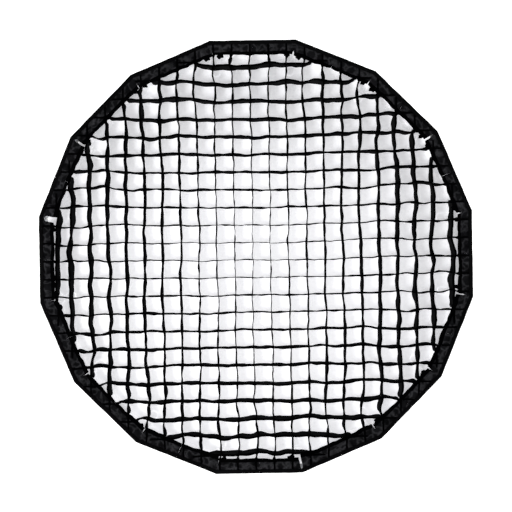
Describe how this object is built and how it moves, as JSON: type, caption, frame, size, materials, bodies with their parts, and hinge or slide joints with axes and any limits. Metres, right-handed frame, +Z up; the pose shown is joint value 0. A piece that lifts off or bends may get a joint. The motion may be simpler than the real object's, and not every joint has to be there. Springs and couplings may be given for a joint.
{
  "type": "collapsible softbox",
  "caption": "Round many-sided collapsible softbox: black fabric shell on folding sprung ribs, quick-lock hub with bayonet, white diffuser and black egg-crate grid.",
  "frame": {"origin": "centre of the bayonet bore, on the plane where its flange seats against the light head", "axes": "+Y along the optical axis towards the light head, so the grid faces -Y; +Z up; +X to the right seen from the front"},
  "size_m": [1.2, 0.51, 1.2],
  "materials": {
    "shell_black": "coated black ripstop outside, silver lining inside",
    "binding_tape": "woven nylon tape",
    "grid_black": "matt coated nylon webs",
    "diffuser_white": "translucent white polyester",
    "cuff_elastic": "ribbed elastic",
    "hub_nylon": "glass-filled nylon",
    "rib_rod": "dark sprung rod in a nylon knuckle",
    "bayonet_alloy": "satin",
    "collar_alloy": "dark anodised",
    "screw_steel": "zinc",
    "pin_steel": "ground",
    "button_red": "moulded"
  },
  "bodies": {
    "hub": {"bayonet_ring": "bayonet_alloy", "hub_ring": "hub_nylon", "collar_retainer": "hub_nylon", "screws": "screw_steel", "rib_pivot_pins": "pin_steel", "button_spring": "screw_steel", "shell_cuff": "cuff_elastic", "rim_binding": "binding_tape", "front_diffuser": "diffuser_white", "fabric_grid": "grid_black"},
    "lock_collar": {"lock_collar": "collar_alloy"},
    "release_button": {"release_button": "button_red"},
    "rib_01": {"rib_01": "rib_rod", "shell_panel_01": "shell_black"},
    "corner_01": {"corner_tab_01": "diffuser_white"},
    "rib_02": {"rib_02": "rib_rod", "shell_panel_02": "shell_black"},
    "corner_02": {"corner_tab_02": "diffuser_white"},
    "rib_03": {"rib_03": "rib_rod", "shell_panel_03": "shell_black"},
    "corner_03": {"corner_tab_03": "diffuser_white"},
    "rib_04": {"rib_04": "rib_rod", "shell_panel_04": "shell_black"},
    "corner_04": {"corner_tab_04": "diffuser_white"},
    "rib_05": {"rib_05": "rib_rod", "shell_panel_05": "shell_black"},
    "corner_05": {"corner_tab_05": "diffuser_white"},
    "rib_06": {"rib_06": "rib_rod", "shell_panel_06": "shell_black"},
    "corner_06": {"corner_tab_06": "diffuser_white"},
    "rib_07": {"rib_07": "rib_rod", "shell_panel_07": "shell_black"},
    "corner_07": {"corner_tab_07": "diffuser_white"},
    "rib_08": {"rib_08": "rib_rod", "shell_panel_08": "shell_black"},
    "corner_08": {"corner_tab_08": "diffuser_white"},
    "rib_09": {"rib_09": "rib_rod", "shell_panel_09": "shell_black"},
    "corner_09": {"corner_tab_09": "diffuser_white"},
    "rib_10": {"rib_10": "rib_rod", "shell_panel_10": "shell_black"},
    "corner_10": {"corner_tab_10": "diffuser_white"},
    "rib_11": {"rib_11": "rib_rod", "shell_panel_11": "shell_black"},
    "corner_11": {"corner_tab_11": "diffuser_white"},
    "rib_12": {"rib_12": "rib_rod", "shell_panel_12": "shell_black"},
    "corner_12": {"corner_tab_12": "diffuser_white"},
    "rib_13": {"rib_13": "rib_rod", "shell_panel_13": "shell_black"},
    "corner_13": {"corner_tab_13": "diffuser_white"},
    "rib_14": {"rib_14": "rib_rod", "shell_panel_14": "shell_black"},
    "corner_14": {"corner_tab_14": "diffuser_white"},
    "rib_15": {"rib_15": "rib_rod", "shell_panel_15": "shell_black"},
    "corner_15": {"corner_tab_15": "diffuser_white"},
    "rib_16": {"rib_16": "rib_rod", "shell_panel_16": "shell_black"},
    "corner_16": {"corner_tab_16": "diffuser_white"}
  },
  "joints": [
    {"name": "rib_01_fold", "type": "hinge", "parent": "hub", "child": "rib_01", "pos_m": [0.08435, -0.022, 0.01678], "axis": [0.1951, 0, -0.9808], "range_deg": [0, 42], "deforming": ["shell_panel_01", "rim_binding", "front_diffuser", "fabric_grid"]},
    {"name": "corner_01_tuck", "type": "hinge", "parent": "rib_01", "child": "corner_01", "pos_m": [0.53551, -0.4485, 0.10652], "axis": [0.1951, 0, -0.9808], "range_deg": [0, 39.1]},
    {"name": "rib_02_fold", "type": "hinge", "parent": "hub", "child": "rib_02", "pos_m": [0.07151, -0.022, 0.04778], "axis": [0.5556, 0, -0.8315], "range_deg": [0, 42], "deforming": ["shell_panel_02"]},
    {"name": "corner_02_tuck", "type": "hinge", "parent": "rib_02", "child": "corner_02", "pos_m": [0.45398, -0.4485, 0.30334], "axis": [0.5556, 0, -0.8315], "range_deg": [0, 39.1]},
    {"name": "rib_03_fold", "type": "hinge", "parent": "hub", "child": "rib_03", "pos_m": [0.04778, -0.022, 0.07151], "axis": [0.8315, 0, -0.5556], "range_deg": [0, 42], "deforming": ["shell_panel_03"]},
    {"name": "corner_03_tuck", "type": "hinge", "parent": "rib_03", "child": "corner_03", "pos_m": [0.30334, -0.4485, 0.45398], "axis": [0.8315, 0, -0.5556], "range_deg": [0, 39.1]},
    {"name": "rib_04_fold", "type": "hinge", "parent": "hub", "child": "rib_04", "pos_m": [0.01678, -0.022, 0.08435], "axis": [0.9808, 0, -0.1951], "range_deg": [0, 42], "deforming": ["shell_panel_04"]},
    {"name": "corner_04_tuck", "type": "hinge", "parent": "rib_04", "child": "corner_04", "pos_m": [0.10652, -0.4485, 0.53551], "axis": [0.9808, 0, -0.1951], "range_deg": [0, 39.1]},
    {"name": "rib_05_fold", "type": "hinge", "parent": "hub", "child": "rib_05", "pos_m": [-0.01678, -0.022, 0.08435], "axis": [0.9808, 0, 0.1951], "range_deg": [0, 42], "deforming": ["shell_panel_05"]},
    {"name": "corner_05_tuck", "type": "hinge", "parent": "rib_05", "child": "corner_05", "pos_m": [-0.10652, -0.4485, 0.53551], "axis": [0.9808, 0, 0.1951], "range_deg": [0, 39.1]},
    {"name": "rib_06_fold", "type": "hinge", "parent": "hub", "child": "rib_06", "pos_m": [-0.04778, -0.022, 0.07151], "axis": [0.8315, 0, 0.5556], "range_deg": [0, 42], "deforming": ["shell_panel_06"]},
    {"name": "corner_06_tuck", "type": "hinge", "parent": "rib_06", "child": "corner_06", "pos_m": [-0.30334, -0.4485, 0.45398], "axis": [0.8315, 0, 0.5556], "range_deg": [0, 39.1]},
    {"name": "rib_07_fold", "type": "hinge", "parent": "hub", "child": "rib_07", "pos_m": [-0.07151, -0.022, 0.04778], "axis": [0.5556, 0, 0.8315], "range_deg": [0, 42], "deforming": ["shell_panel_07"]},
    {"name": "corner_07_tuck", "type": "hinge", "parent": "rib_07", "child": "corner_07", "pos_m": [-0.45398, -0.4485, 0.30334], "axis": [0.5556, 0, 0.8315], "range_deg": [0, 39.1]},
    {"name": "rib_08_fold", "type": "hinge", "parent": "hub", "child": "rib_08", "pos_m": [-0.08435, -0.022, 0.01678], "axis": [0.1951, 0, 0.9808], "range_deg": [0, 42], "deforming": ["shell_panel_08"]},
    {"name": "corner_08_tuck", "type": "hinge", "parent": "rib_08", "child": "corner_08", "pos_m": [-0.53551, -0.4485, 0.10652], "axis": [0.1951, 0, 0.9808], "range_deg": [0, 39.1]},
    {"name": "rib_09_fold", "type": "hinge", "parent": "hub", "child": "rib_09", "pos_m": [-0.08435, -0.022, -0.01678], "axis": [-0.1951, 0, 0.9808], "range_deg": [0, 42], "deforming": ["shell_panel_09"]},
    {"name": "corner_09_tuck", "type": "hinge", "parent": "rib_09", "child": "corner_09", "pos_m": [-0.53551, -0.4485, -0.10652], "axis": [-0.1951, 0, 0.9808], "range_deg": [0, 39.1]},
    {"name": "rib_10_fold", "type": "hinge", "parent": "hub", "child": "rib_10", "pos_m": [-0.07151, -0.022, -0.04778], "axis": [-0.5556, 0, 0.8315], "range_deg": [0, 42], "deforming": ["shell_panel_10"]},
    {"name": "corner_10_tuck", "type": "hinge", "parent": "rib_10", "child": "corner_10", "pos_m": [-0.45398, -0.4485, -0.30334], "axis": [-0.5556, 0, 0.8315], "range_deg": [0, 39.1]},
    {"name": "rib_11_fold", "type": "hinge", "parent": "hub", "child": "rib_11", "pos_m": [-0.04778, -0.022, -0.07151], "axis": [-0.8315, 0, 0.5556], "range_deg": [0, 42], "deforming": ["shell_panel_11"]},
    {"name": "corner_11_tuck", "type": "hinge", "parent": "rib_11", "child": "corner_11", "pos_m": [-0.30334, -0.4485, -0.45398], "axis": [-0.8315, 0, 0.5556], "range_deg": [0, 39.1]},
    {"name": "rib_12_fold", "type": "hinge", "parent": "hub", "child": "rib_12", "pos_m": [-0.01678, -0.022, -0.08435], "axis": [-0.9808, 0, 0.1951], "range_deg": [0, 42], "deforming": ["shell_panel_12"]},
    {"name": "corner_12_tuck", "type": "hinge", "parent": "rib_12", "child": "corner_12", "pos_m": [-0.10652, -0.4485, -0.53551], "axis": [-0.9808, 0, 0.1951], "range_deg": [0, 39.1]},
    {"name": "rib_13_fold", "type": "hinge", "parent": "hub", "child": "rib_13", "pos_m": [0.01678, -0.022, -0.08435], "axis": [-0.9808, 0, -0.1951], "range_deg": [0, 42], "deforming": ["shell_panel_13"]},
    {"name": "corner_13_tuck", "type": "hinge", "parent": "rib_13", "child": "corner_13", "pos_m": [0.10652, -0.4485, -0.53551], "axis": [-0.9808, 0, -0.1951], "range_deg": [0, 39.1]},
    {"name": "rib_14_fold", "type": "hinge", "parent": "hub", "child": "rib_14", "pos_m": [0.04778, -0.022, -0.07151], "axis": [-0.8315, 0, -0.5556], "range_deg": [0, 42], "deforming": ["shell_panel_14"]},
    {"name": "corner_14_tuck", "type": "hinge", "parent": "rib_14", "child": "corner_14", "pos_m": [0.30334, -0.4485, -0.45398], "axis": [-0.8315, 0, -0.5556], "range_deg": [0, 39.1]},
    {"name": "rib_15_fold", "type": "hinge", "parent": "hub", "child": "rib_15", "pos_m": [0.07151, -0.022, -0.04778], "axis": [-0.5556, 0, -0.8315], "range_deg": [0, 42], "deforming": ["shell_panel_15"]},
    {"name": "corner_15_tuck", "type": "hinge", "parent": "rib_15", "child": "corner_15", "pos_m": [0.45398, -0.4485, -0.30334], "axis": [-0.5556, 0, -0.8315], "range_deg": [0, 39.1]},
    {"name": "rib_16_fold", "type": "hinge", "parent": "hub", "child": "rib_16", "pos_m": [0.08435, -0.022, -0.01678], "axis": [-0.1951, 0, -0.9808], "range_deg": [0, 42], "deforming": ["shell_panel_16"]},
    {"name": "corner_16_tuck", "type": "hinge", "parent": "rib_16", "child": "corner_16", "pos_m": [0.53551, -0.4485, -0.10652], "axis": [-0.1951, 0, -0.9808], "range_deg": [0, 39.1]},
    {"name": "lock_collar_slide", "type": "slide", "parent": "hub", "child": "lock_collar", "axis": [0, 1, 0], "range_m": [0, 0.00935]},
    {"name": "release_button_press", "type": "slide", "parent": "hub", "child": "release_button", "axis": [0, -1, 0], "range_m": [0, 0.003], "stiffness_N_per_m": 600, "springref_m": -0.001, "deforming": ["button_spring"]}
  ],
  "couplings": [
    {"joint": "corner_01_tuck", "follows": "rib_01_fold", "ratio": 0.93},
    {"joint": "rib_02_fold", "follows": "rib_01_fold", "ratio": 1},
    {"joint": "corner_02_tuck", "follows": "rib_01_fold", "ratio": 0.93},
    {"joint": "rib_03_fold", "follows": "rib_01_fold", "ratio": 1},
    {"joint": "corner_03_tuck", "follows": "rib_01_fold", "ratio": 0.93},
    {"joint": "rib_04_fold", "follows": "rib_01_fold", "ratio": 1},
    {"joint": "corner_04_tuck", "follows": "rib_01_fold", "ratio": 0.93},
    {"joint": "rib_05_fold", "follows": "rib_01_fold", "ratio": 1},
    {"joint": "corner_05_tuck", "follows": "rib_01_fold", "ratio": 0.93},
    {"joint": "rib_06_fold", "follows": "rib_01_fold", "ratio": 1},
    {"joint": "corner_06_tuck", "follows": "rib_01_fold", "ratio": 0.93},
    {"joint": "rib_07_fold", "follows": "rib_01_fold", "ratio": 1},
    {"joint": "corner_07_tuck", "follows": "rib_01_fold", "ratio": 0.93},
    {"joint": "rib_08_fold", "follows": "rib_01_fold", "ratio": 1},
    {"joint": "corner_08_tuck", "follows": "rib_01_fold", "ratio": 0.93},
    {"joint": "rib_09_fold", "follows": "rib_01_fold", "ratio": 1},
    {"joint": "corner_09_tuck", "follows": "rib_01_fold", "ratio": 0.93},
    {"joint": "rib_10_fold", "follows": "rib_01_fold", "ratio": 1},
    {"joint": "corner_10_tuck", "follows": "rib_01_fold", "ratio": 0.93},
    {"joint": "rib_11_fold", "follows": "rib_01_fold", "ratio": 1},
    {"joint": "corner_11_tuck", "follows": "rib_01_fold", "ratio": 0.93},
    {"joint": "rib_12_fold", "follows": "rib_01_fold", "ratio": 1},
    {"joint": "corner_12_tuck", "follows": "rib_01_fold", "ratio": 0.93},
    {"joint": "rib_13_fold", "follows": "rib_01_fold", "ratio": 1},
    {"joint": "corner_13_tuck", "follows": "rib_01_fold", "ratio": 0.93},
    {"joint": "rib_14_fold", "follows": "rib_01_fold", "ratio": 1},
    {"joint": "corner_14_tuck", "follows": "rib_01_fold", "ratio": 0.93},
    {"joint": "rib_15_fold", "follows": "rib_01_fold", "ratio": 1},
    {"joint": "corner_15_tuck", "follows": "rib_01_fold", "ratio": 0.93},
    {"joint": "rib_16_fold", "follows": "rib_01_fold", "ratio": 1},
    {"joint": "corner_16_tuck", "follows": "rib_01_fold", "ratio": 0.93},
    {"joint": "lock_collar_slide", "follows": "rib_01_fold", "m_per_rad": 0.012711}
  ]
}
